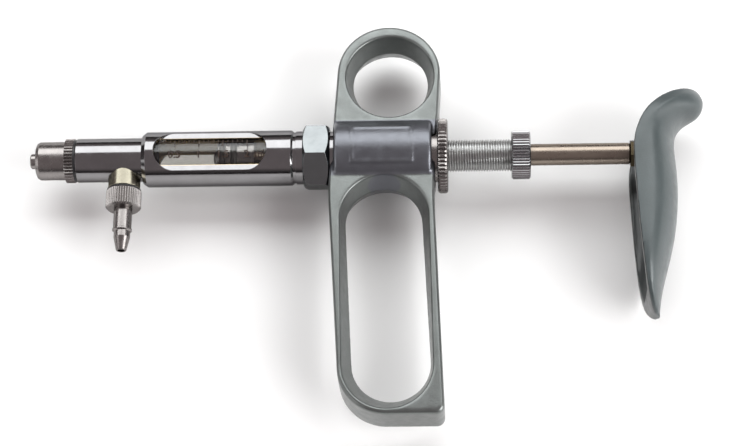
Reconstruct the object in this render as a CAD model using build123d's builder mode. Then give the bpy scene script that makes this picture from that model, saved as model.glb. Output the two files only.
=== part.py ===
from build123d import *
import os
from math import acos, atan2, cos, hypot, pi, sin

# Self-refilling metal syringe, lying on its side.
# X runs along the barrel from the needle connector to the palm grip, Y across it from the
# finger loop to the finger ring, and Z up from the surface that it lies on.
# Lengths along the barrel are "stations": millimetres behind the tip of the luer cone.
# Depths along the inlet are millimetres from the barrel's axis towards the hose.

# ---------------------------------------------------------------- driving dimensions
TIP_X = -91.25            # the luer cone's tip in the part's frame
AXIS_Y = 19.1             # the barrel's axis
AXIS_Z = 12.5             # its height over the resting surface, half the palm grip's width

GLASS_BORE_R = 4.95       # 2 ml barrel
GLASS_R = 6.3
SLEEVE_BORE_R = 6.4
SLEEVE_R = 7.5
BODY_R = 5.95
PASSAGE_R = 1.1

CONE_TIP_R, CONE_ROOT_R = 2.05, 2.28          # 6 % luer taper
CONE_ROOT = 7.8
COLLAR_START, COLLAR_R, COLLAR_BORE_R = 1.8, 5.2, 3.9
CONNECTOR_KNURL = (9.8, 12.15)
CONNECTOR_KNURL_R, CONNECTOR_TOOTH, CONNECTOR_TEETH = 6.0, 0.45, 40
CONNECTOR_WEB = 9.3
CONNECTOR_GASKET_R = 5.7
SPIGOT_R = 4.1
BODY_START, BODY_END = 12.7, 33.4
SLEEVE_START, SLEEVE_SHOULDER, SLEEVE_END = 30.9, 70.8, 90.0
SLEEVE_GROOVE, SLEEVE_GROOVE_R = (71.7, 72.5), 6.9
SLEEVE_FLANGE_R = 7.2

VALVE_SEAT = 16.0
VALVE_R, VALVE_THICK, VALVE_STEM_R, VALVE_STEM = 2.1, 0.68, 0.8, 2.4
VALVE_CHAMBER_R = 2.5
VALVE_SPRING_R, VALVE_WIRE_R, VALVE_SPRING_TURNS = 1.45, 0.15, 6
FACE_GAP = 0.02           # between a moving face and the face that it rests on

INLET = 25.8              # station of the inlet's axis
NECK_R, NECK_SEAT, NECK_SHOULDER, NECK_END = 4.33, 4.02, 8.75, 11.6
NECK_SPIGOT_R = 3.6
INLET_CHAMBER_TOP = 5.2
INLET_NUT = (9.2, 14.4)
INLET_NUT_R, INLET_NUT_TOOTH, INLET_NUT_TEETH = 4.75, 0.3, 44
INLET_NUT_WEB = 13.2
INLET_RING_R = (3.7, 4.6)
SEAL_END, SEAL_R = 12.1, (1.5, 3.55)
BARB_FLANGE_R, BARB_STEM_R, BARB_BORE_R = 3.5, 2.45, 1.0
BARB_RIDGE, BARB_RIDGE_R = (20.1, 21.0), 2.65
BARB_CONE, BARB_WAIST_R, BARB_TIP_R = (22.6, 26.3), 2.2, 1.4

WINDOW = (34.2, 64.8)
WINDOW_WIDTH = 10.8
WINDOW_FLAT = 5.14        # the flat floor of the window's cut, from the axis
GLASS = (34.2, 68.8)
GASKET = 0.8

PISTON_TIP, PISTON_END = 50.0, 61.2
PISTON_R = 4.75
NOSE, NOSE_R = 1.6, 1.0   # the piston's cone
NOSE_HOLLOW, NOSE_HOLLOW_R = 1.85, 1.35       # the valve body's hollow for it
GROOVE_R, GROOVE_WIDTH = 3.18, 1.8
O_RING_SECTION = 0.85
O_RINGS = (52.75, 55.75)
ROD_R, INNER_ROD_R = 2.9, 2.0
STUD, STUD_R = 3.8, 1.5   # the rod's end in the piston
STOP = (96.2, 98.2)       # the collar on the rod that the dose screw stops
STOP_R = 4.3
ROD_END = 162.3
GRIP_STUD_R, GRIP_STUD_END = 1.7, 169.4

SPRING_R, WIRE_R, SPRING_TURNS = 3.85, 0.4, 9
SLEEVE_NECK = 74.4
SPIGOT_OUTER_R, SPIGOT_BORE_R = 5.5, 4.6

HEX_NUT = (74.4, 81.5)
HEX_FLATS = 16.2
HEX_TURN = 15.0           # degrees from +Z to the nearest corner, towards -Y
WASHER_R = 7.0
BOSS = (82.9, 109.0)
BOSS_R = 10.0

DOSE_SCREW = (98.25, 134.5)
DOSE_SCREW_R, DOSE_SCREW_BORE_R = 4.35, 2.96
DOSE_THREAD_BORE_R = 4.40
KNOB = (130.4, 135.5)
KNOB_R, KNOB_TOOTH, KNOB_TEETH = 6.55, 0.32, 50
LOCK_NUT = (109.02, 110.6, 113.3)
LOCK_NUT_R, LOCK_NUT_TOOTH, LOCK_NUT_TEETH = 10.1, 0.4, 55
LOCK_NUT_HUB_R = 7.0

PLATE = 13.0              # thickness of the handle's two loops
RING_CENTRE, RING_R = (97.5, 22.2), 13.95
RING_HOLE, RING_HOLE_R = (97.8, 20.9), 12.0
WAIST_LEFT, WAIST_RIGHT = (81.3, -11.7), (109.6, -12.0)
HEEL_CENTRE, HEEL_R = (96.9, -61.6), 12.7
TOE = (112.15, -74.3)
DRAFT = 1.9               # how far each hole narrows from a face to the middle

LOOP_RIM = (((96.4, -19.8), 11.9), ((97.2, -61.0), 12.0))
LOOP_MIDDLE = (((96.1, -20.0), 10.2), ((98.1, -59.0), 10.3))
PLATE_ROUND, RIM_ROUND = 1.1, 0.5             # on the outline's edges and the holes' rims
TOE_ROUND, WAIST_ROUND = 2.2, 70
SHORTEST_RIM = 8          # shorter edges beside the boss stay sharp, and so do
BOSS_EDGES = 8            # edges whose middle is nearer the barrel's axis than this
PANEL, PANEL_CENTRE = (16.5, 10.6), (95.7, 0)
PANEL_BORDER, PANEL_RAISE = 0.55, 0.22

ROD_NUT_FLATS, ROD_NUT_LENGTH = 6.6, 2.2
GRIP_WALL = 2.4
GRIP_BOSS, GRIP_BOSS_R = (164.6, 172.4), 4.2
# Front point, back point and half width of each rib of the grip, from its tail to its tip.
GRIP_RIBS = (
    ((167.0, -46.6), (168.6, -46.8), 2.4),
    ((165.8, -44.6), (168.6, -45.0), 5.8),
    ((164.8, -40.7), (169.2, -40.9), 9.6),
    ((164.0, -34.0), (171.1, -33.6), 12.0),
    ((163.2, -23.0), (173.7, -22.5), 12.46),
    ((162.6, -10.0), (174.7, -9.5), 12.46),
    ((162.9, 0.5), (174.1, 0.5), 12.46),
    ((164.6, 5.4), (174.7, 5.0), 12.2),
    ((167.5, 9.8), (176.9, 8.3), 11.4),
    ((170.9, 13.0), (179.0, 9.6), 9.8),
    ((174.8, 15.5), (180.9, 10.6), 7.6),
    ((178.5, 16.9), (182.2, 12.6), 4.8),
    ((180.9, 16.9), (182.5, 14.6), 2.2),
)

# ---------------------------------------------------------------- planes and helpers
SIDE = Plane(origin=(TIP_X, AXIS_Y, AXIS_Z), x_dir=(1, 0, 0), z_dir=(0, 0, 1))
BARREL_AXIS = Axis((TIP_X, AXIS_Y, AXIS_Z), (1, 0, 0))
INLET_SIDE = Plane(origin=(TIP_X + INLET, AXIS_Y, AXIS_Z), x_dir=(0, -1, 0), z_dir=(0, 0, 1))
INLET_AXIS = Axis((TIP_X + INLET, AXIS_Y, AXIS_Z), (0, -1, 0))


def station(x):
    """The plane square to the barrel at a station, its own X along the part's Y."""
    return Plane(origin=(TIP_X + x, AXIS_Y, AXIS_Z), x_dir=(0, 1, 0), z_dir=(1, 0, 0))


def depth(d):
    """The plane square to the inlet at a depth below the barrel's axis."""
    return Plane(origin=(TIP_X + INLET, AXIS_Y - d, AXIS_Z), x_dir=(1, 0, 0), z_dir=(0, -1, 0))


def turned(*points, mode=Mode.ADD, plane=SIDE, axis=BARREL_AXIS):
    """Add or cut what a closed half-section of (length, radius) points makes round an axis."""
    with BuildSketch(plane) as section:
        with BuildLine():
            Polyline(*points, close=True)
        make_face()
    revolve(section.sketch, axis=axis, mode=mode)


def turned_inlet(*points, mode=Mode.ADD):
    """The same round the inlet's axis, with depths in place of stations."""
    turned(*points, mode=mode, plane=INLET_SIDE, axis=INLET_AXIS)


def tube(start, end, inner, outer, mode=Mode.ADD):
    """A plain ring round the barrel's axis."""
    turned((start, inner), (start, outer), (end, outer), (end, inner), mode=mode)


def knurled(plane, length, radius, tooth, teeth):
    """A disc with straight V teeth round its rim."""
    with BuildSketch(plane) as rim:
        with BuildLine():
            Polyline(
                *[
                    (r * cos(a), r * sin(a))
                    for i in range(teeth)
                    for r, a in (
                        (radius, 2 * pi * (i + 0.12) / teeth),
                        (radius, 2 * pi * (i + 0.38) / teeth),
                        (radius - tooth, 2 * pi * (i + 0.75) / teeth),
                    )
                ],
                close=True,
            )
        make_face()
    extrude(rim.sketch, amount=length)


def poppet(plane, axis, seat, away):
    """A disc valve that rests on a seat, with a stem that guides its spring."""
    face = seat + away * FACE_GAP
    back = face + away * VALVE_THICK
    turned(
        (face, 0),
        (face, VALVE_R),
        (back, VALVE_R),
        (back, VALVE_STEM_R),
        (back + away * VALVE_STEM, VALVE_STEM_R),
        (back + away * VALVE_STEM, 0),
        plane=plane,
        axis=axis,
    )


def coil(start, direction, length, radius, wire, turns):
    """A round-wire compression spring, between two points a length apart."""
    height = length - 2 * wire
    begin = start + direction * wire
    with BuildLine() as path:
        Helix(pitch=height / turns, height=height, radius=radius, center=begin, direction=direction)
    with BuildSketch(Plane(origin=path.line @ 0, z_dir=path.line % 0)) as section:
        Circle(wire)
    sweep(section.sketch, path=path.line, is_frenet=True)


def tangent_point(point, centre, radius, side):
    """Where the line from a point touches a circle; side is +1 or -1."""
    dx, dy = point[0] - centre[0], point[1] - centre[1]
    angle = atan2(dy, dx) + side * acos(radius / hypot(dx, dy))
    return centre[0] + radius * cos(angle), centre[1] + radius * sin(angle)


def save(piece, name):
    """Label a finished piece and write its STEP file."""
    piece.part.label = name
    export_step(piece.part, f"parts/{name}.step")


os.makedirs("parts", exist_ok=True)

# ---------------------------------------------------------------- needle end
# Luer cone in a collar, with a knurled ring to screw it on by.
with BuildPart() as luer_connector:
    knurl_start, knurl_end = CONNECTOR_KNURL
    knurl_length = knurl_end - knurl_start
    knurled(station(knurl_start), knurl_length, CONNECTOR_KNURL_R, CONNECTOR_TOOTH, CONNECTOR_TEETH)
    turned(
        (0, 0),
        (0, CONE_TIP_R - 0.3),
        (0.3, CONE_TIP_R),
        (CONE_ROOT, CONE_ROOT_R),
        (CONE_ROOT, COLLAR_BORE_R),
        (COLLAR_START, COLLAR_BORE_R),
        (COLLAR_START, COLLAR_R - 0.9),
        (COLLAR_START + 0.3, COLLAR_R - 0.35),
        (COLLAR_START + 1.0, COLLAR_R),
        (knurl_start, COLLAR_R),
        (knurl_start, 0),
    )
    tube(0, knurl_end, 0, PASSAGE_R, mode=Mode.SUBTRACT)
    tube(CONNECTOR_WEB, knurl_end, 0, SPIGOT_R + 0.05, mode=Mode.SUBTRACT)
save(luer_connector, "luer_connector")

with BuildPart() as connector_gasket:
    tube(knurl_end, BODY_START, SPIGOT_R + 0.05, CONNECTOR_GASKET_R)
save(connector_gasket, "connector_gasket")

# Valve body: a spigot for the connector, the outlet valve's chamber, the passage, and a
# rear face hollowed to take the piston's nose.
with BuildPart() as valve_body:
    turned(
        (CONNECTOR_WEB + 0.2, VALVE_CHAMBER_R),
        (CONNECTOR_WEB + 0.2, SPIGOT_R),
        (BODY_START, SPIGOT_R),
        (BODY_START, BODY_R - 0.3),
        (BODY_START + 0.3, BODY_R),
        (SLEEVE_START + 0.3, BODY_R),
        (SLEEVE_START + 0.3, SLEEVE_BORE_R - 0.05),
        (BODY_END, SLEEVE_BORE_R - 0.05),
        (BODY_END, PISTON_R + 0.1),
        (BODY_END - NOSE_HOLLOW, NOSE_HOLLOW_R),
        (BODY_END - NOSE_HOLLOW, PASSAGE_R),
        (VALVE_SEAT, PASSAGE_R),
        (VALVE_SEAT, VALVE_CHAMBER_R),
    )
    with BuildSketch(depth(NECK_SEAT)):
        Circle(NECK_R + 0.03)
    extrude(amount=6, mode=Mode.SUBTRACT)
    with BuildSketch(depth(0)):
        Circle(PASSAGE_R)
    extrude(amount=6, mode=Mode.SUBTRACT)
save(valve_body, "valve_body")

with BuildPart() as outlet_valve:
    poppet(SIDE, BARREL_AXIS, VALVE_SEAT, -1)
save(outlet_valve, "outlet_valve")

with BuildPart() as outlet_valve_spring:
    coil(
        Vector(TIP_X + CONNECTOR_WEB + FACE_GAP, AXIS_Y, AXIS_Z),
        Vector(1, 0, 0),
        VALVE_SEAT - VALVE_THICK - CONNECTOR_WEB - 3 * FACE_GAP,
        VALVE_SPRING_R,
        VALVE_WIRE_R,
        VALVE_SPRING_TURNS,
    )
save(outlet_valve_spring, "outlet_valve_spring")

# ---------------------------------------------------------------- inlet
with BuildPart() as inlet_neck:
    turned_inlet(
        (NECK_SEAT, PASSAGE_R),
        (NECK_SEAT, NECK_R),
        (NECK_SHOULDER - 0.25, NECK_R),
        (NECK_SHOULDER, NECK_R - 0.25),
        (NECK_SHOULDER, NECK_SPIGOT_R),
        (NECK_END, NECK_SPIGOT_R),
        (NECK_END, VALVE_CHAMBER_R),
        (INLET_CHAMBER_TOP, VALVE_CHAMBER_R),
        (INLET_CHAMBER_TOP, PASSAGE_R),
    )
save(inlet_neck, "inlet_neck")

with BuildPart() as inlet_o_ring:
    ring_inner, ring_outer = INLET_RING_R
    turned_inlet(
        (NECK_SHOULDER, ring_inner),
        (NECK_SHOULDER, ring_outer - 0.15),
        (NECK_SHOULDER + 0.15, ring_outer),
        (INLET_NUT[0] - 0.15, ring_outer),
        (INLET_NUT[0], ring_outer - 0.15),
        (INLET_NUT[0], ring_inner),
    )
save(inlet_o_ring, "inlet_o_ring")

with BuildPart() as inlet_nut:
    nut_top, nut_end = INLET_NUT
    knurled(depth(nut_top), nut_end - nut_top, INLET_NUT_R, INLET_NUT_TOOTH, INLET_NUT_TEETH)
    turned_inlet(
        (nut_top, 0),
        (nut_top, INLET_NUT_R - 0.3),
        (nut_top + 0.3, INLET_NUT_R),
        (nut_end - 0.5, INLET_NUT_R),
        (nut_end, INLET_NUT_R - 0.5),
        (nut_end, 0),
        mode=Mode.INTERSECT,
    )
    turned_inlet(
        (nut_top, 0),
        (nut_top, NECK_SPIGOT_R + 0.05),
        (INLET_NUT_WEB, NECK_SPIGOT_R + 0.05),
        (INLET_NUT_WEB, BARB_STEM_R + 0.1),
        (nut_end, BARB_STEM_R + 0.1),
        (nut_end, 0),
        mode=Mode.SUBTRACT,
    )
save(inlet_nut, "inlet_nut")

with BuildPart() as inlet_seat_washer:
    turned_inlet((NECK_END, SEAL_R[0]), (NECK_END, SEAL_R[1]), (SEAL_END, SEAL_R[1]), (SEAL_END, SEAL_R[0]))
save(inlet_seat_washer, "inlet_seat_washer")

with BuildPart() as hose_barb:
    ridge_start, ridge_end = BARB_RIDGE
    cone_start, cone_end = BARB_CONE
    turned_inlet(
        (SEAL_END, BARB_BORE_R),
        (SEAL_END, BARB_FLANGE_R),
        (INLET_NUT_WEB, BARB_FLANGE_R),
        (INLET_NUT_WEB, BARB_STEM_R + 0.05),
        (INLET_NUT[1] - 0.1, BARB_STEM_R + 0.05),
        (INLET_NUT[1] - 0.1, BARB_STEM_R),
        (ridge_start, BARB_STEM_R),
        (ridge_start + 0.15, BARB_RIDGE_R),
        (ridge_end - 0.4, BARB_RIDGE_R),
        (ridge_end, BARB_WAIST_R),
        (cone_start, BARB_WAIST_R),
        (cone_end - 0.1, BARB_TIP_R),
        (cone_end, BARB_TIP_R - 0.1),
        (cone_end, BARB_BORE_R),
    )
save(hose_barb, "hose_barb")

with BuildPart() as inlet_valve:
    poppet(INLET_SIDE, INLET_AXIS, NECK_END, -1)
save(inlet_valve, "inlet_valve")

with BuildPart() as inlet_valve_spring:
    coil(
        Vector(TIP_X + INLET, AXIS_Y - INLET_CHAMBER_TOP - FACE_GAP, AXIS_Z),
        Vector(0, -1, 0),
        NECK_END - VALVE_THICK - INLET_CHAMBER_TOP - 3 * FACE_GAP,
        VALVE_SPRING_R,
        VALVE_WIRE_R,
        VALVE_SPRING_TURNS,
    )
save(inlet_valve_spring, "inlet_valve_spring")

# ---------------------------------------------------------------- barrel
# The sleeve is milled flat on both sides, down into its bore, so the glass shows.
with BuildPart() as barrel_sleeve:
    turned(
        (SLEEVE_START, SLEEVE_BORE_R),
        (SLEEVE_START, SLEEVE_R - 0.8),
        (SLEEVE_START + 1.1, SLEEVE_R),
        (SLEEVE_GROOVE[0] - 0.5, SLEEVE_R),
        (SLEEVE_GROOVE[0], SLEEVE_R - 0.4),
        (SLEEVE_GROOVE[0], SLEEVE_GROOVE_R),
        (SLEEVE_GROOVE[1], SLEEVE_GROOVE_R),
        (SLEEVE_GROOVE[1], SLEEVE_FLANGE_R),
        (SLEEVE_NECK, SLEEVE_FLANGE_R),
        (SLEEVE_NECK, SPIGOT_OUTER_R),
        (SLEEVE_END, SPIGOT_OUTER_R),
        (SLEEVE_END, SPIGOT_BORE_R),
        (SLEEVE_SHOULDER, SPIGOT_BORE_R),
        (SLEEVE_SHOULDER, SLEEVE_BORE_R),
    )
    for up in (1, -1):
        with BuildSketch(SIDE.offset(up * WINDOW_FLAT)):
            with Locations((sum(WINDOW) / 2, 0)):
                SlotOverall(WINDOW[1] - WINDOW[0], WINDOW_WIDTH)
        extrude(amount=up * SLEEVE_R, mode=Mode.SUBTRACT)
save(barrel_sleeve, "barrel_sleeve")

with BuildPart() as front_glass_gasket:
    tube(GLASS[0] - GASKET, GLASS[0], GLASS_BORE_R + 0.05, GLASS_R)
save(front_glass_gasket, "front_glass_gasket")

with BuildPart() as glass_barrel:
    tube(GLASS[0], GLASS[1], GLASS_BORE_R, GLASS_R)
save(glass_barrel, "glass_barrel")

with BuildPart() as rear_glass_gasket:
    tube(GLASS[1], GLASS[1] + GASKET, GLASS_BORE_R + 0.05, GLASS_R)
save(rear_glass_gasket, "rear_glass_gasket")

with BuildPart() as spring_seat:
    tube(GLASS[1] + GASKET, SLEEVE_SHOULDER, INNER_ROD_R + 0.2, GLASS_R)
save(spring_seat, "spring_seat")

# ---------------------------------------------------------------- plunger
with BuildPart() as piston:
    turned(
        (PISTON_TIP, 0),
        (PISTON_TIP, NOSE_R),
        (PISTON_TIP + NOSE - 0.15, PISTON_R - 0.1),
        (PISTON_TIP + NOSE, PISTON_R),
        (PISTON_END, PISTON_R),
        (PISTON_END, STUD_R + 0.05),
        (PISTON_END - STUD - 0.2, STUD_R + 0.05),
        (PISTON_END - STUD - 0.2, 0),
    )
    for centre in O_RINGS:
        start, end = centre - GROOVE_WIDTH / 2, centre + GROOVE_WIDTH / 2
        tube(start, end, GROOVE_R, PISTON_R + 1, mode=Mode.SUBTRACT)
save(piston, "piston")

for centre, name in zip(O_RINGS, ("piston_o_ring_front", "piston_o_ring_rear")):
    with BuildPart() as o_ring:
        with BuildSketch(SIDE) as wire_section:
            with Locations((centre, GROOVE_R + 0.02 + O_RING_SECTION)):
                Circle(O_RING_SECTION)
        revolve(wire_section.sketch, axis=BARREL_AXIS)
    save(o_ring, name)

with BuildPart() as plunger_rod:
    turned(
        (PISTON_END - STUD, 0),
        (PISTON_END - STUD, STUD_R),
        (PISTON_END, STUD_R),
        (PISTON_END, INNER_ROD_R),
        (STOP[1], INNER_ROD_R),
        (STOP[1], ROD_R),
        (ROD_END - 0.4, ROD_R),
        (ROD_END, ROD_R - 0.4),
        (ROD_END, GRIP_STUD_R),
        (GRIP_STUD_END, GRIP_STUD_R),
        (GRIP_STUD_END, 0),
    )
save(plunger_rod, "plunger_rod")

with BuildPart() as stop_collar:
    tube(STOP[0], STOP[1], INNER_ROD_R + 0.03, STOP_R)
save(stop_collar, "stop_collar")

with BuildPart() as return_spring:
    coil(
        Vector(TIP_X + SLEEVE_SHOULDER + FACE_GAP, AXIS_Y, AXIS_Z),
        Vector(1, 0, 0),
        STOP[0] - SLEEVE_SHOULDER - 2 * FACE_GAP,
        SPRING_R,
        WIRE_R,
        SPRING_TURNS,
    )
save(return_spring, "return_spring")

# ---------------------------------------------------------------- barrel fastening
with BuildPart() as barrel_hex_nut:
    with BuildSketch(station(HEX_NUT[0])):
        RegularPolygon(HEX_FLATS / 2, 6, major_radius=False, rotation=30 + 90 - HEX_TURN)
    extrude(amount=HEX_NUT[1] - HEX_NUT[0])
    corner_r = HEX_FLATS / 2 / cos(pi / 6)
    turned(
        (HEX_NUT[0], 0),
        (HEX_NUT[0], HEX_FLATS / 2 - 0.3),
        (HEX_NUT[0] + 0.95, corner_r),
        (HEX_NUT[1] - 0.95, corner_r),
        (HEX_NUT[1], HEX_FLATS / 2 - 0.3),
        (HEX_NUT[1], 0),
        mode=Mode.INTERSECT,
    )
    tube(HEX_NUT[0], HEX_NUT[1], 0, SPIGOT_OUTER_R + 0.03, mode=Mode.SUBTRACT)
save(barrel_hex_nut, "barrel_hex_nut")

with BuildPart() as barrel_washer:
    turned(
        (HEX_NUT[1], SPIGOT_OUTER_R + 0.05),
        (HEX_NUT[1], WASHER_R - 0.25),
        (HEX_NUT[1] + 0.25, WASHER_R),
        (BOSS[0] - 0.25, WASHER_R),
        (BOSS[0], WASHER_R - 0.25),
        (BOSS[0], SPIGOT_OUTER_R + 0.05),
    )
save(barrel_washer, "barrel_washer")

# ---------------------------------------------------------------- dose setting
with BuildPart() as dose_screw:
    turned(
        (DOSE_SCREW[0], DOSE_SCREW_BORE_R),
        (DOSE_SCREW[0], DOSE_SCREW_R - 0.3),
        (DOSE_SCREW[0] + 0.3, DOSE_SCREW_R),
        (KNOB[0], DOSE_SCREW_R),
        (KNOB[0], DOSE_SCREW_R - 0.35),
        (DOSE_SCREW[1], DOSE_SCREW_R - 0.35),
        (DOSE_SCREW[1], DOSE_SCREW_BORE_R),
    )
save(dose_screw, "dose_screw")

with BuildPart() as dose_knob:
    knurled(station(KNOB[0]), KNOB[1] - KNOB[0], KNOB_R, KNOB_TOOTH, KNOB_TEETH)
    turned(
        (KNOB[0], 0),
        (KNOB[0], KNOB_R - 0.45),
        (KNOB[0] + 0.45, KNOB_R),
        (KNOB[1] - 0.45, KNOB_R),
        (KNOB[1], KNOB_R - 0.45),
        (KNOB[1], 0),
        mode=Mode.INTERSECT,
    )
    tube(KNOB[0], DOSE_SCREW[1], 0, DOSE_SCREW_R - 0.32, mode=Mode.SUBTRACT)
    tube(KNOB[0], KNOB[1], 0, DOSE_SCREW_BORE_R + 0.04, mode=Mode.SUBTRACT)
save(dose_knob, "dose_knob")

with BuildPart() as lock_nut:
    hub_start, disc_start, disc_end = LOCK_NUT
    knurled(station(disc_start), disc_end - disc_start, LOCK_NUT_R, LOCK_NUT_TOOTH, LOCK_NUT_TEETH)
    turned(
        (disc_start, 0),
        (disc_start, LOCK_NUT_R - 0.6),
        (disc_start + 0.25, LOCK_NUT_R - 0.2),
        (disc_start + 0.7, LOCK_NUT_R),
        (disc_end - 0.7, LOCK_NUT_R),
        (disc_end - 0.25, LOCK_NUT_R - 0.2),
        (disc_end, LOCK_NUT_R - 0.6),
        (disc_end, 0),
        mode=Mode.INTERSECT,
    )
    tube(hub_start, disc_start, 0, LOCK_NUT_HUB_R)
    tube(hub_start, disc_end, 0, DOSE_THREAD_BORE_R + 0.02, mode=Mode.SUBTRACT)
save(lock_nut, "lock_nut")

# ---------------------------------------------------------------- handle casting
def finger_hole(rim_circles, middle_circles):
    """Cut a hole with drafted walls: each outline is the hull of its (centre, radius) circles."""
    for up in (1, -1):
        with BuildSketch(SIDE) as middle:
            for centre, radius in middle_circles:
                with Locations(centre):
                    Circle(radius)
            make_hull()
        with BuildSketch(SIDE.offset(up * PLATE / 2)) as rim:
            for centre, radius in rim_circles:
                with Locations(centre):
                    Circle(radius)
            make_hull()
        loft([middle.sketch.face(), rim.sketch.face()], ruled=True, mode=Mode.SUBTRACT)


def on_a_face(edge):
    """True for an edge that lies in one of the plate's two faces."""
    flat = edge.bounding_box().size.Z < 0.01
    return flat and abs(abs(edge.center().Z - AXIS_Z) - PLATE / 2) < 0.01


# Two loops in one plate, on a boss that holds the barrel in front and the dose screw behind.
with BuildPart() as handle_frame:
    ring_left = tangent_point(WAIST_LEFT, RING_CENTRE, RING_R, -1)
    ring_right = tangent_point(WAIST_RIGHT, RING_CENTRE, RING_R, 1)
    heel_left = tangent_point(WAIST_LEFT, HEEL_CENTRE, HEEL_R, 1)
    ring_top = (RING_CENTRE[0], RING_CENTRE[1] + RING_R)
    heel_bottom = (HEEL_CENTRE[0], HEEL_CENTRE[1] - HEEL_R)
    heel_middle = (HEEL_CENTRE[0] - HEEL_R * cos(pi / 4), HEEL_CENTRE[1] - HEEL_R * sin(pi / 4))
    with BuildSketch(SIDE.offset(-PLATE / 2)) as outline:
        with BuildLine():
            ThreePointArc(ring_left, ring_top, ring_right)
            Polyline(ring_right, WAIST_RIGHT, TOE, heel_bottom)
            ThreePointArc(heel_bottom, heel_middle, heel_left)
            Polyline(heel_left, WAIST_LEFT, ring_left)
        make_face()
        fillet(outline.vertices().sort_by(Axis.X)[-1], radius=TOE_ROUND)
        fillet([v for v in outline.vertices() if abs(v.Y - WAIST_LEFT[1]) < 1], radius=WAIST_ROUND)
    extrude(outline.sketch, amount=PLATE)
    fillet(handle_frame.faces().filter_by(Axis.Z).edges(), radius=PLATE_ROUND)
    turned(
        (BOSS[0], 0),
        (BOSS[0], BOSS_R - 0.5),
        (BOSS[0] + 0.5, BOSS_R),
        (BOSS[1] - 0.5, BOSS_R),
        (BOSS[1], BOSS_R - 0.5),
        (BOSS[1], 0),
    )
    finger_hole([(RING_HOLE, RING_HOLE_R)], [(RING_HOLE, RING_HOLE_R - DRAFT)])
    finger_hole(LOOP_RIM, LOOP_MIDDLE)
    face_edges = handle_frame.edges().filter_by(on_a_face)
    rims = [e for e in face_edges if e.length > SHORTEST_RIM and abs(e.center().Y - AXIS_Y) > BOSS_EDGES]
    fillet(rims, radius=RIM_ROUND)
    # A plain raised border where a maker's panel would be.
    with BuildSketch(SIDE.offset(BOSS_R - 2.5)) as border:
        with Locations(PANEL_CENTRE):
            Rectangle(*PANEL)
            Rectangle(PANEL[0] - 2 * PANEL_BORDER, PANEL[1] - 2 * PANEL_BORDER, mode=Mode.SUBTRACT)
    with BuildPart(mode=Mode.PRIVATE) as panel:
        extrude(border.sketch, amount=5)
        tube(BOSS[0], BOSS[1], 0, BOSS_R + PANEL_RAISE, mode=Mode.INTERSECT)
    add(panel.part)
    # Room for the washer in front, and for the lock nut behind.
    tube(BOSS[0] - 4, BOSS[0], 0, WASHER_R + 0.3, mode=Mode.SUBTRACT)
    tube(BOSS[1], BOSS[1] + 4, 0, LOCK_NUT_HUB_R + 0.3, mode=Mode.SUBTRACT)
    tube(LOCK_NUT[1] - 0.25, BOSS[1] + 4, 0, LOCK_NUT_R + 0.4, mode=Mode.SUBTRACT)
    tube(BOSS[0], SLEEVE_END + 0.2, 0, SPIGOT_OUTER_R + 0.05, mode=Mode.SUBTRACT)
    tube(SLEEVE_END, STOP[1] - 1.2, 0, SPIGOT_BORE_R, mode=Mode.SUBTRACT)
    tube(STOP[1] - 1.2, BOSS[1], 0, DOSE_THREAD_BORE_R, mode=Mode.SUBTRACT)
save(handle_frame, "handle_frame")

# ---------------------------------------------------------------- palm grip
with BuildPart() as rod_end_nut:
    with BuildSketch(station(ROD_END + FACE_GAP)):
        RegularPolygon(ROD_NUT_FLATS / 2, 6, major_radius=False)
    extrude(amount=ROD_NUT_LENGTH)
    tube(ROD_END, GRIP_BOSS[0], 0, GRIP_STUD_R + 0.03, mode=Mode.SUBTRACT)
save(rod_end_nut, "rod_end_nut")

def rib(front, back, half_width, reach=0, wall=0):
    """A D-shaped section of the grip: flat towards the barrel, crowned towards the palm."""
    length = hypot(back[0] - front[0], back[1] - front[1])
    along = ((back[0] - front[0]) / length, (back[1] - front[1]) / length)
    origin = (TIP_X + front[0], AXIS_Y + front[1], AXIS_Z)
    plane = Plane(origin=origin, x_dir=(along[0], along[1], 0), z_dir=(along[1], -along[0], 0))
    near, far, side = -reach, length - wall, half_width - wall
    shoulder = near + 0.35 * (far - near)
    with BuildSketch(plane) as section:
        with BuildLine():
            Polyline((shoulder, -side), (near, -side), (near, side), (shoulder, side))
            ThreePointArc((shoulder, side), (far, 0), (shoulder, -side))
        make_face()
    return section.sketch.face()


# A saddle with a hooked top and a rounded tail, hollow and open towards the barrel, with a
# boss inside for the rod's threaded end.
with BuildPart() as palm_grip:
    loft([rib(*ends) for ends in GRIP_RIBS])
    loft([rib(*ends, reach=3, wall=GRIP_WALL) for ends in GRIP_RIBS[2:8]], mode=Mode.SUBTRACT)
    tube(GRIP_BOSS[0], GRIP_BOSS[1], 0, GRIP_BOSS_R)
    tube(GRIP_BOSS[0], GRIP_STUD_END + 0.3, 0, GRIP_STUD_R + 0.03, mode=Mode.SUBTRACT)
save(palm_grip, "palm_grip")
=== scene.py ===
from math import ceil, cos, pi, radians, sin, sqrt

import bmesh
import bpy
from mathutils import Matrix, Vector


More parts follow.
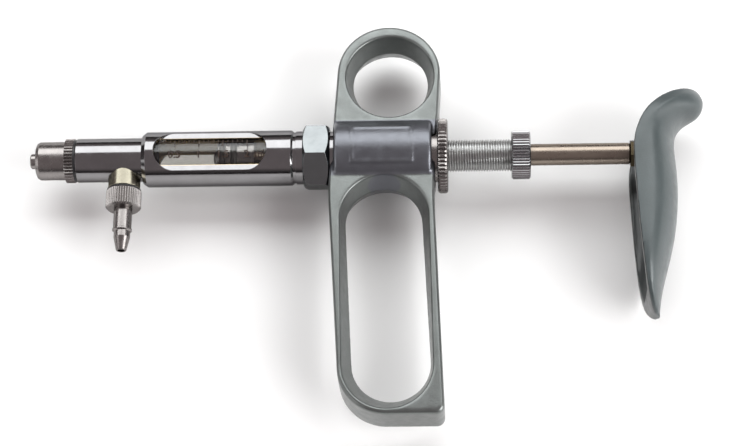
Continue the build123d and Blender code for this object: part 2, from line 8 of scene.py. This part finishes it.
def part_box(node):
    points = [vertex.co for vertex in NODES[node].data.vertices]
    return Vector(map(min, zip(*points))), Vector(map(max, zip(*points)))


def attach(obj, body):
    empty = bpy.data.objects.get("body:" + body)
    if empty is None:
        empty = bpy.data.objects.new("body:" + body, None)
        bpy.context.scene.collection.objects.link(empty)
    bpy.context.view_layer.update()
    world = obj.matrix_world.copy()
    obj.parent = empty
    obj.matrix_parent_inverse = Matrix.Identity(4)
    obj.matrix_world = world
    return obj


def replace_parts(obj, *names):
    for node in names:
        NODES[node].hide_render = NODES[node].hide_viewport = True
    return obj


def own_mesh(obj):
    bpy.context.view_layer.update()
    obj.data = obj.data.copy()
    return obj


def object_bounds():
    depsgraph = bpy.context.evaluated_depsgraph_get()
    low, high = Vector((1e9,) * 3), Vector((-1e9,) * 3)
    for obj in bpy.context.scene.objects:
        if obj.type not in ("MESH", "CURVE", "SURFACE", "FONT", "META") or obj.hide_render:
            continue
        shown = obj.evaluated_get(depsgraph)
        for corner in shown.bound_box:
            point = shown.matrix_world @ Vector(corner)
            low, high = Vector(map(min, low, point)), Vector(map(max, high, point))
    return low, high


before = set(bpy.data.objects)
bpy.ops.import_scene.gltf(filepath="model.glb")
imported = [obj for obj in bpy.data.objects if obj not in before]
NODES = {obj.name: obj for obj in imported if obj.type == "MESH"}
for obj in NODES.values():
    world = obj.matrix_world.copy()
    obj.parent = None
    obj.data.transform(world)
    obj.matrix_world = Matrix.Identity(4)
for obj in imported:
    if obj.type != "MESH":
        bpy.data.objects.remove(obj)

# Self-refilling metal syringe, lying on its side: X along the barrel, Y across it, Z up.
# Every length is in metres; MM turns a length in millimetres into one.
MM = 0.001
CAD_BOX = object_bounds()

# ---------------------------------------------------------------- places read from the frame
SCREW_LOW, SCREW_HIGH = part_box("dose_screw")
AXIS_Y = (SCREW_LOW.y + SCREW_HIGH.y) / 2
AXIS_Z = (SCREW_LOW.z + SCREW_HIGH.z) / 2
TIP_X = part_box("luer_connector")[0].x
FLOOR_Z = CAD_BOX[0][2]


# ---------------------------------------------------------------- node helpers
class Surface:
    """A material's node tree, with short calls for the nodes that the finishes here share."""

    def __init__(self, name, color, roughness, metallic=0.0, **more):
        self.material = bpy.data.materials.new(name)
        self.material.use_nodes = True
        self.tree = self.material.node_tree
        self.shader = self.tree.nodes["Principled BSDF"]
        self.set("Base Color", (*color, 1.0))
        self.set("Roughness", roughness)
        self.set("Metallic", metallic)
        for socket, value in more.items():
            self.set(socket.replace("_", " "), value)
        self.place = self.tree.nodes.new("ShaderNodeTexCoord").outputs["Object"]
        self.normal = None

    def set(self, socket, value):
        self.shader.inputs[socket].default_value = value

    def node(self, kind, inputs=(), **settings):
        """A new node, with its inputs given as (socket, value or output) pairs."""
        made = self.tree.nodes.new(kind)
        for key, value in settings.items():
            setattr(made, key, value)
        for socket, value in inputs:
            if isinstance(value, bpy.types.NodeSocket):
                self.tree.links.new(value, made.inputs[socket])
            else:
                made.inputs[socket].default_value = value
        return made

    def stretched(self, x=1.0, y=1.0, z=1.0):
        """The object's coordinates, scaled along each axis."""
        return self.node("ShaderNodeMapping", [("Vector", self.place), ("Scale", (x, y, z))]).outputs[0]

    def noise(self, size, detail=3.0, rough=0.55, place=None):
        """Noise from 0 to 1 whose blotches are about size across."""
        inputs = [
            ("Vector", place or self.place),
            ("Scale", 1 / size),
            ("Detail", detail),
            ("Roughness", rough),
        ]
        return self.node("ShaderNodeTexNoise", inputs).outputs["Fac"]

    def math(self, operation, a, b=0.0, c=0.0):
        return self.node("ShaderNodeMath", [(0, a), (1, b), (2, c)], operation=operation).outputs[0]

    def spread(self, value, low, high, to_low=0.0, to_high=1.0):
        """A value mapped from one range to another, kept inside it."""
        inputs = [("Value", value), ("From Min", low), ("From Max", high)]
        inputs += [("To Min", to_low), ("To Max", to_high)]
        return self.node("ShaderNodeMapRange", inputs).outputs["Result"]

    def mixed(self, factor, first, second):
        """Two colours, each an output or a plain one, mixed by a factor."""
        made = self.node("ShaderNodeMix", data_type="RGBA")
        for socket, value in ((made.inputs[0], factor), (made.inputs[6], first), (made.inputs[7], second)):
            if isinstance(value, bpy.types.NodeSocket):
                self.tree.links.new(value, socket)
            elif isinstance(value, tuple):
                socket.default_value = (*value, 1.0)
            else:
                socket.default_value = value
        return made.outputs[2]

    def edge(self, width, low=0.02, high=0.30):
        """1 on edges about this wide and 0 on open surface."""
        soft = self.node("ShaderNodeBevel", [("Radius", width)], samples=4).outputs[0]
        true = self.node("ShaderNodeNewGeometry").outputs["Normal"]
        dot = self.node("ShaderNodeVectorMath", [(0, soft), (1, true)], operation="DOT_PRODUCT")
        return self.spread(dot.outputs["Value"], 1 - low, 1 - high)

    def from_axis(self):
        """The distance from the barrel's axis."""
        parts = self.node("ShaderNodeSeparateXYZ", [("Vector", self.place)]).outputs
        y = self.math("SUBTRACT", parts["Y"], AXIS_Y)
        z = self.math("SUBTRACT", parts["Z"], AXIS_Z)
        return self.math("SQRT", self.math("ADD", self.math("MULTIPLY", y, y), self.math("MULTIPLY", z, z)))

    def bump(self, height, distance, strength=1.0):
        """Adds relief: height is from 0 to 1, and distance is how far that stands up."""
        inputs = [("Height", height), ("Distance", distance), ("Strength", strength)]
        if self.normal:
            inputs.append(("Normal", self.normal))
        self.normal = self.node("ShaderNodeBump", inputs).outputs[0]

    def rounded(self, radius):
        """Shades edges as if they were rounded."""
        self.normal = self.node("ShaderNodeBevel", [("Radius", radius)], samples=4).outputs[0]

    def finish(self, color=None, roughness=None):
        """Joins what varies to the shader and gives the material."""
        for socket, value in (("Base Color", color), ("Roughness", roughness), ("Normal", self.normal)):
            if value is not None:
                self.tree.links.new(value, self.shader.inputs[socket])
        return self.material


def tint(color, amount):
    """A colour, brighter or darker."""
    return tuple(min(1.0, c * amount) for c in color)


# ---------------------------------------------------------------- finishes
HOLLOW_CORE = 3.4 * MM                 # from the grip's front to the middle of its hollow


def hollow_painted_shade(s):
    """1 in the palm grip's hollow and on the rim faces turned towards the barrel: painted shade, where
    little light reaches.
    """
    normal = s.node("ShaderNodeSeparateXYZ", [(0, s.place.node.outputs["Normal"])]).outputs
    place = s.node("ShaderNodeSeparateXYZ", [(0, s.place)]).outputs
    x = s.math("SUBTRACT", place["X"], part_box("palm_grip")[0].x + HOLLOW_CORE)
    z = s.math("SUBTRACT", place["Z"], AXIS_Z)
    outward = s.math("ADD", s.math("MULTIPLY", normal["X"], x), s.math("MULTIPLY", normal["Z"], z))
    inside = s.spread(outward, 0.5 * MM, -1.5 * MM, 0, 0.9)
    rim = s.spread(normal["X"], -0.45, -0.85, 0, 0.85)
    return s.math("MAXIMUM", inside, rim)


def cast_paint(name, color, bare, grain, metallic, shaded_boss_reach=0.0):
    """Metallic enamel on a casting: soft grain, orange peel, a worn, brighter edge, and painted shade on
    the handle's boss or in the grip's hollow.
    """
    s = Surface(name, color, 0.38, metallic, Coat_Weight=0.2, Coat_Roughness=0.25)
    cloud = s.noise(9 * MM, 4)
    flake = s.noise(0.22 * MM, 2)
    fine = s.noise(grain, 3)
    base = s.mixed(s.spread(cloud, 0.3, 0.7), tint(color, 0.90), tint(color, 1.08))
    base = s.mixed(s.spread(flake, 0.52, 0.75, 0, 0.35), base, tint(color, 1.5))
    if shaded_boss_reach:
        # Painted shade: the boss inside this reach is painted darker and bluer than the loops, standing in
        # for the dark surroundings its round face reflects.
        boss = s.spread(s.from_axis(), shaded_boss_reach, shaded_boss_reach - 0.3 * MM, 0, 0.8)
        base = s.mixed(boss, base, (color[0] * 0.86, color[1] * 0.82, color[2] * 0.98))
    else:
        # Painted shade: the grip's hollow and its rim darkened to 0.22 of the paint.
        base = s.mixed(hollow_painted_shade(s), base, tint(color, 0.22))
    worn = s.math("MULTIPLY", s.edge(0.5 * MM), s.spread(s.noise(1.6 * MM, 5), 0.42, 0.62))
    base = s.mixed(worn, base, bare)
    rough = s.spread(s.noise(2.5 * MM, 4), 0.3, 0.7, 0.28, 0.42)
    s.bump(fine, 0.05 * MM, 0.5)
    s.bump(s.noise(3.2 * MM, 2), 0.12 * MM, 0.35)
    return s.finish(base, rough)


def bright_metal(name, color, low, high, line=None, wobble=0.0, soft=0.12):
    """Plated or polished metal: smudges, hairlines along line's short axis, rounded edges."""
    s = Surface(name, color, low, 1.0, Specular_Tint=(0.5, 0.5, 0.5, 1.0))
    smudge = s.noise(5 * MM, 5, 0.6)
    base = s.mixed(s.spread(smudge, 0.35, 0.7), tint(color, 0.93), tint(color, 1.04))
    rough = s.spread(s.noise(2.4 * MM, 6, 0.65), 0.3, 0.75, low, high)
    s.rounded(soft * MM)
    if line:
        s.bump(s.noise(0.35 * MM, 3, 0.6, s.stretched(*line)), 0.006 * MM, 0.6)
    if wobble:
        s.bump(s.noise(6 * MM, 1), wobble, 0.5)
    return s.finish(base, rough)


def rubber(name):
    s = Surface(name, (0.012, 0.012, 0.014), 0.42)
    base = s.mixed(s.noise(1.5 * MM, 3), (0.010, 0.010, 0.012), (0.022, 0.021, 0.022))
    rough = s.spread(s.noise(0.8 * MM, 3), 0.3, 0.7, 0.32, 0.55)
    s.bump(s.noise(0.15 * MM, 2), 0.01 * MM, 0.4)
    return s.finish(base, rough)


def glass(name):
    # The grey tint of the glass is painted shade: it darkens the floor seen through the barrel.
    s = Surface(name, (0.70, 0.69, 0.665), 0.02, Transmission_Weight=1.0, IOR=1.48)
    rough = s.spread(s.noise(1.5 * MM, 4), 0.45, 0.8, 0.0, 0.06)
    s.bump(s.noise(4 * MM, 1), 0.01 * MM, 0.3)
    return s.finish(None, rough)


def sleeve_metal(name):
    """Chrome outside; inside the bore, the brass that the sleeve is made of."""
    s = Surface(name, CHROME, 0.06, 1.0, Specular_Tint=(0.45, 0.45, 0.46, 1.0))
    smudge = s.noise(5 * MM, 5, 0.6)
    plate = s.mixed(s.spread(smudge, 0.35, 0.7), tint(CHROME, 0.93), tint(CHROME, 1.05))
    brass = s.mixed(s.noise(1.2 * MM, 4), (0.70, 0.52, 0.27), (0.90, 0.74, 0.46))
    inside = s.spread(s.from_axis(), 6.5 * MM, 6.42 * MM)
    base = s.mixed(inside, plate, brass)
    shine = s.spread(s.noise(2.4 * MM, 6, 0.65), 0.3, 0.75, 0.09, 0.16)
    rough = s.math("ADD", shine, s.math("MULTIPLY", inside, 0.25))
    s.rounded(0.12 * MM)
    s.bump(s.noise(6 * MM, 1), 0.02 * MM, 0.5)
    return s.finish(base, rough)


def thread_metal(name):
    """Bright crests, with painted shade, in patches, down in the grooves of the thread."""
    s = Surface(name, (0.5, 0.5, 0.5), 0.3, 1.0)
    crest = s.spread(s.from_axis(), THREAD_ROOT, THREAD_CREST)
    patchy = s.spread(s.noise(1.5 * MM, 4), 0.3, 0.7, 0.4, 1.0)
    # Painted shade: the grooves darkened towards their roots, in patches.
    groove_shade = s.math("MULTIPLY", patchy, s.math("SUBTRACT", 1.0, crest))
    base = s.mixed(groove_shade, (0.52, 0.525, 0.52), (0.24, 0.235, 0.23))
    rough = s.spread(s.noise(0.8 * MM, 4), 0.3, 0.7, 0.28, 0.42)
    s.bump(s.noise(0.3 * MM, 3, 0.6, s.stretched(0.1, 1.0, 1.0)), 0.006 * MM, 0.5)
    return s.finish(base, rough)


def ink(name):
    """Fired brown enamel of the printed scale, a little uneven."""
    s = Surface(name, (0.02, 0.01, 0.006), 0.5)
    base = s.mixed(s.noise(0.25 * MM, 3), (0.014, 0.007, 0.004), (0.040, 0.020, 0.010))
    rough = s.spread(s.noise(0.2 * MM, 2), 0.3, 0.7, 0.4, 0.6)
    s.bump(s.noise(0.12 * MM, 2), 0.004 * MM, 0.4)
    return s.finish(base, rough)


THREAD_CREST = (SCREW_HIGH.z - SCREW_LOW.z) / 2
THREAD_ROOT = THREAD_CREST - 0.40 * MM
THREAD_PITCH = 0.7 * MM
SCREW_BORE = 2.96 * MM
LEAD_IN = 0.6 * MM                     # the stretch over which the thread fades in at each end
CHROME = (0.265, 0.26, 0.265)
NICKEL = (0.28, 0.262, 0.255)
SILVER, SILVER_WORN = (0.160, 0.172, 0.167), (0.42, 0.43, 0.41)
GREY, GREY_WORN = (0.058, 0.072, 0.074), (0.13, 0.155, 0.155)
BOSS_REACH = 10.45 * MM                # from the barrel's axis, just outside the handle's boss, where its painted shade ends
FINISHES = {
    "silver_paint": cast_paint("silver_paint", SILVER, SILVER_WORN, 0.5 * MM, 0.85, BOSS_REACH),
    "grey_paint": cast_paint("grey_paint", GREY, GREY_WORN, 0.4 * MM, 0.12),
    "chrome": bright_metal("chrome", CHROME, 0.10, 0.17, None, 0.02 * MM),
    "satin_nickel": bright_metal("satin_nickel", NICKEL, 0.20, 0.34, (1.0, 0.05, 0.05), soft=0.03),
    "bright_steel": thread_metal("bright_steel"),
    "warm_nickel": bright_metal("warm_nickel", (0.29, 0.245, 0.205), 0.24, 0.36, (0.03, 1.0, 1.0)),
    "spring_steel": bright_metal("spring_steel", (0.35, 0.35, 0.36), 0.15, 0.3),
    "brass": bright_metal("brass", (0.085, 0.068, 0.042), 0.3, 0.5),
    "black_rubber": rubber("black_rubber"),
    "clear_glass": glass("clear_glass"),
}
INK = ink("scale_ink")

for name, piece in NODES.items():
    slot = piece.material_slots[0].material.name.split(".")[0]
    piece.material_slots[0].material = FINISHES[slot]
SPECIAL = {
    "barrel_sleeve": sleeve_metal("sleeve_chrome"),
    "barrel_hex_nut": bright_metal("nut_chrome", (0.235, 0.25, 0.255), 0.16, 0.26, None, 0.02 * MM),
    "dose_knob": bright_metal("knob_chrome", (0.42, 0.42, 0.43), 0.14, 0.24, None, 0.0, 0.03),
    "inlet_neck": bright_metal("neck_nickel", (0.30, 0.28, 0.22), 0.2, 0.3),
}
for name, material in SPECIAL.items():
    NODES[name].material_slots[0].material = material


# ---------------------------------------------------------------- pieces made here
def piece_of(name, mesh, body, slot, material=None):
    """A new object of the given mesh, riding on a body, with a slot's finish."""
    made = bpy.data.objects.new(name, mesh)
    bpy.context.scene.collection.objects.link(made)
    mesh.materials.clear()
    mesh.materials.append(material or FINISHES[slot])
    mesh.shade_smooth()
    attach(made, body)
    return made


def mesh_of(name, bm):
    """The finished mesh of a bmesh, with its normals outwards."""
    bmesh.ops.recalc_face_normals(bm, faces=bm.faces)
    mesh = bpy.data.meshes.new(name)
    bm.to_mesh(mesh)
    bm.free()
    return mesh


def with_modifiers(mesh, *modifiers, weights=()):
    """A mesh as it comes out of modifiers, each a (kind, settings) pair, and group "weights"."""
    carrier = bpy.data.objects.new("carrier", mesh)
    bpy.context.scene.collection.objects.link(carrier)
    if weights:
        group = carrier.vertex_groups.new(name="weights")
        for index, weight in enumerate(weights):
            group.add([index], weight, "REPLACE")
    for kind, settings in modifiers:
        modifier = carrier.modifiers.new(kind, kind)
        for key, value in settings.items():
            setattr(modifier, key, value)
    bpy.context.view_layer.update()
    shape = carrier.evaluated_get(bpy.context.evaluated_depsgraph_get())
    result = bpy.data.meshes.new_from_object(shape)
    bpy.data.objects.remove(carrier)
    return result


def cast_piece(name, node, body, slot, voxel, rounds, crown=None):
    """A casting: the CAD shape with every corner and crease softened, as sand and paint leave it."""
    mesh = with_modifiers(
        NODES[node].data.copy(),
        ("REMESH", {"mode": "VOXEL", "voxel_size": voxel, "use_smooth_shade": True}),
        ("SMOOTH", {"factor": 0.5, "iterations": rounds}),
    )
    if crown:
        mesh = crown_softened(mesh, *crown)
    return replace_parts(piece_of(name, mesh, body, slot), node)


HOOK, HOOK_FADE = 9 * MM, 8 * MM       # the hook's height, and the fade below it


def crown_softened(mesh, depth, rounds):
    """The grip's palm side with its shoulders rolled into its sides; front and hook stay crisp."""
    step = 1 * MM
    hook_y = max(v.co.y for v in mesh.vertices) - HOOK
    front = {}
    for v in mesh.vertices:
        row = round(v.co.y / step)
        front[row] = min(front.get(row, v.co.x), v.co.x)
    weights = []
    for v in mesh.vertices:
        behind = (v.co.x - front[round(v.co.y / step)]) / depth - 0.5
        below = (hook_y - v.co.y) / HOOK_FADE
        weights.append(min(1.0, max(0.0, behind)) * min(1.0, max(0.0, below)))
    smooth = {"factor": 0.5, "iterations": rounds, "vertex_group": "weights"}
    return with_modifiers(mesh, ("SMOOTH", smooth), weights=weights)


def threaded_tube(name, node, body, slot):
    """The dose screw: a tube with a real helical thread over its whole length."""
    low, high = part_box(node)
    around, per_turn = 72, 8
    rows = ceil((high.x - low.x) / THREAD_PITCH * per_turn)
    rings = []
    for i in range(rows + 1):
        x = low.x + (high.x - low.x) * i / rows
        end = min(1.0, (x - low.x) / LEAD_IN, (high.x - x) / LEAD_IN)
        ring = []
        for j in range(around):
            phase = ((x - low.x) / THREAD_PITCH - j / around) % 1
            flank = min(1.0, max(0.0, 1.9 * abs(phase - 0.5) * 2 - 0.45))
            flank = flank * flank * (3 - 2 * flank)
            ring.append((x, THREAD_ROOT + (THREAD_CREST - THREAD_ROOT) * flank * max(end, 0.0)))
        rings.append(ring)
    for x in (high.x, low.x):
        rings.append([(x, SCREW_BORE)] * around)
    bm = bmesh.new()
    grid = [
        [
            bm.verts.new((x, AXIS_Y + r * cos(2 * pi * j / around), AXIS_Z + r * sin(2 * pi * j / around)))
            for j, (x, r) in enumerate(ring)
        ]
        for ring in rings
    ]
    for one, other in zip(grid, grid[1:] + grid[:1]):
        for j in range(around):
            k = (j + 1) % around
            bm.faces.new((one[j], one[k], other[k], other[j]))
    mesh = mesh_of(name, bm)
    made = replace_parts(piece_of(name, mesh, body, slot), node)
    mesh.set_sharp_from_angle(angle=radians(50))
    return made


def coil_spring(name, node, wire, turns, along=0, from_high=False):
    """A wire spring filling a node's box; along is its axis, 0 for X and 1 for Y."""
    low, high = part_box(node)
    middle = (low + high) / 2
    radius = (high.z - low.z) / 2 - wire
    length = high[along] - low[along]
    axis = Vector((0, 0, 0))
    axis[along] = 1
    steps, sides = turns * 28, 10
    bm = bmesh.new()
    rings = []
    for i in range(steps + 1):
        angle = 2 * pi * i * turns / steps
        out = Vector((0, 0, sin(angle)))
        out[1 - along] = cos(angle)
        centre = middle + out * radius + axis * (length - 2 * wire) * (i / steps - 0.5)
        around = [2 * pi * j / sides for j in range(sides)]
        rings.append([bm.verts.new(centre + (out * cos(a) + axis * sin(a)) * wire) for a in around])
    for one, other in zip(rings, rings[1:]):
        for j in range(sides):
            k = (j + 1) % sides
            bm.faces.new((one[j], one[k], other[k], other[j]))
    bm.faces.new(rings[0])
    bm.faces.new(rings[-1])
    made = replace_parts(piece_of(name, mesh_of(name, bm), "root", "spring_steel"), node)
    anchor = middle.copy()
    anchor[along] = high[along] if from_high else low[along]
    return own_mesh(made)


# ---------------------------------------------------------------- printed scale
GLASS_LOW, GLASS_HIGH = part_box("glass_barrel")
GLASS_R = (GLASS_HIGH.z - GLASS_LOW.z) / 2
ZERO_X = GLASS_LOW.x - 0.8 * MM        # where the scale's zero falls, at the front gasket
PER_ML = 13.0 * MM
INK_THICK = 0.02 * MM


def wrapped(bm):
    """Bends a flat drawing, its X along the barrel and its Y round it, on to the glass."""
    step = 0.35 * MM
    heights = [v.co.y for v in bm.verts]
    for i in range(int(min(heights) / step) - 1, int(max(heights) / step) + 2):
        everything = bm.verts[:] + bm.edges[:] + bm.faces[:]
        bmesh.ops.bisect_plane(bm, geom=everything, plane_co=(0, i * step, 0), plane_no=(0, 1, 0))
    made = bmesh.ops.extrude_face_region(bm, geom=bm.faces[:])
    upper = {v for v in made["geom"] if isinstance(v, bmesh.types.BMVert)}
    for v in bm.verts:
        r = GLASS_R + (INK_THICK if v in upper else 0.2 * INK_THICK)
        angle = v.co.y / GLASS_R
        v.co = Vector((v.co.x, AXIS_Y + r * sin(angle), AXIS_Z + r * cos(angle)))


def numeral(text, x, y, height):
    """Generic figures as a flat mesh, centred on a point."""
    font = bpy.data.curves.new("figures", "FONT")
    font.body = text
    font.size = height * 1.4
    font.offset = height * 0.035
    font.align_x, font.align_y = "CENTER", "CENTER"
    font.resolution_u = 4
    carrier = bpy.data.objects.new("figures", font)
    bpy.context.scene.collection.objects.link(carrier)
    bpy.context.view_layer.update()
    mesh = bpy.data.meshes.new_from_object(carrier.evaluated_get(bpy.context.evaluated_depsgraph_get()))
    bpy.data.objects.remove(carrier)
    mesh.transform(Matrix.Translation((x, y, 0)))
    return mesh


def printed_scale():
    """Tick marks every 0.1 ml, longer ones every 0.5 ml, and the figures below them."""
    bm = bmesh.new()
    top, half_wide = 3.35 * MM, 0.15 * MM
    figures_y, figures_height = -1.25 * MM, 2.0 * MM
    for tenth in range(1, 21):
        x = ZERO_X + tenth * PER_ML / 10
        length = 2.3 * MM if tenth % 5 == 0 else 0.9 * MM
        left, right, foot = x - half_wide, x + half_wide, top - length
        corners = [(left, foot), (right, foot), (right, top), (left, top)]
        bm.faces.new([bm.verts.new((cx, cy, 0)) for cx, cy in corners])
    for text, ml in (("0.5", 0.5), ("1", 1.0), ("1.5", 1.5), ("2", 2.0), ("ml", 2.27)):
        bm.from_mesh(numeral(text, ZERO_X + ml * PER_ML, figures_y, figures_height))
    wrapped(bm)
    mesh = mesh_of("printed_scale", bm)
    made = piece_of("printed_scale", mesh, "root", "clear_glass", INK)
    mesh.shade_flat()
    return made


VOXEL = 0.35 * MM
WALL = 2.4 * MM                        # the grip's wall
RETURN_WIRE, VALVE_WIRE = 0.4 * MM, 0.15 * MM

cast_piece("handle_casting", "handle_frame", "root", "silver_paint", VOXEL, 3)
cast_piece("grip_casting", "palm_grip", "plunger", "grey_paint", VOXEL, 4, (WALL, 320))
threaded_tube("dose_thread", "dose_screw", "dose_screw", "bright_steel")
printed_scale()
coil_spring("return_coil", "return_spring", RETURN_WIRE, 9)
coil_spring("outlet_valve_coil", "outlet_valve_spring", VALVE_WIRE, 6)
coil_spring("inlet_valve_coil", "inlet_valve_spring", VALVE_WIRE, 6, 1, True)


# ---------------------------------------------------------------- stage, light and camera
def stage_floor():
    mesh = bpy.data.meshes.new("floor")
    reach = 3.0
    corners = [(x * reach, y * reach, FLOOR_Z) for x, y in ((-1, -1), (1, -1), (1, 1), (-1, 1))]
    mesh.from_pydata(corners, [], [(0, 1, 2, 3)])
    floor = bpy.data.objects.new("floor", mesh)
    bpy.context.scene.collection.objects.link(floor)
    pale = Surface("floor_paper", (0.86, 0.86, 0.855), 0.7)
    base = pale.mixed(pale.noise(0.2, 2), (0.85, 0.85, 0.845), (0.88, 0.88, 0.875))
    mesh.materials.append(pale.finish(base))


def softbox(name, place, aim, size, power, color=(1, 1, 1)):
    light = bpy.data.lights.new(name, "AREA")
    light.shape = "RECTANGLE"
    light.size, light.size_y = size
    light.energy = power
    light.color = color
    lamp = bpy.data.objects.new(name, light)
    bpy.context.scene.collection.objects.link(lamp)
    lamp.location = place
    lamp.rotation_euler = (Vector(aim) - Vector(place)).to_track_quat("-Z", "Y").to_euler()


HORIZON, OVERHEAD = (0.04, 0.036, 0.037), (0.33, 0.29, 0.295)


def studio():
    world = bpy.data.worlds.new("studio")
    bpy.context.scene.world = world
    world.use_nodes = True
    tree = world.node_tree
    place = tree.nodes.new("ShaderNodeTexCoord").outputs["Generated"]
    height = tree.nodes.new("ShaderNodeSeparateXYZ")
    tree.links.new(place, height.inputs[0])
    ramp = tree.nodes.new("ShaderNodeValToRGB")
    tree.links.new(height.outputs["Z"], ramp.inputs[0])
    for stop, position, color in zip(ramp.color_ramp.elements, (0.12, 0.42), (HORIZON, OVERHEAD)):
        stop.position = position
        stop.color = (*color, 1)
    tree.links.new(ramp.outputs[0], tree.nodes["Background"].inputs["Color"])
    tree.nodes["Background"].inputs["Strength"].default_value = 1.0
    middle = (0, 0, 0)
    softbox("key", (0.0, 0.58, 0.69), middle, (2.0, 0.62), 12.5, (0.97, 1.0, 1.0))
    softbox("left", (-0.95, -0.40, 0.55), middle, (0.9, 0.9), 3)
    softbox("right", (0.95, -0.40, 0.55), middle, (0.9, 0.9), 15)
    bpy.context.scene.view_settings.view_transform = "Standard"


def camera():
    """The camera stands high over the inlet's side and looks back at the barrel's middle."""
    lens = bpy.data.cameras.new("camera")
    lens.lens = 110
    lens.sensor_width = 36
    lens.clip_end = 20
    view = bpy.data.objects.new("camera", lens)
    bpy.context.scene.collection.objects.link(view)
    target = Vector((TIP_X + 93.3 * MM, AXIS_Y - 19.25 * MM, AXIS_Z))
    tilt, swing, roll, distance = radians(22.0), radians(2.5), radians(0.303), 609.7 * MM
    away = Vector((sin(swing), -sin(tilt), 0))
    away.z = sqrt(1 - away.x ** 2 - away.y ** 2)
    right = (-away).cross(Vector((0, 1, 0))).normalized()
    turn = Matrix.Rotation(roll, 3, away)
    axes = [turn @ right, turn @ away.cross(right), away]
    view.matrix_world = Matrix.Translation(target + away * distance) @ Matrix(axes).transposed().to_4x4()
    bpy.context.scene.camera = view


stage_floor()
studio()
camera()
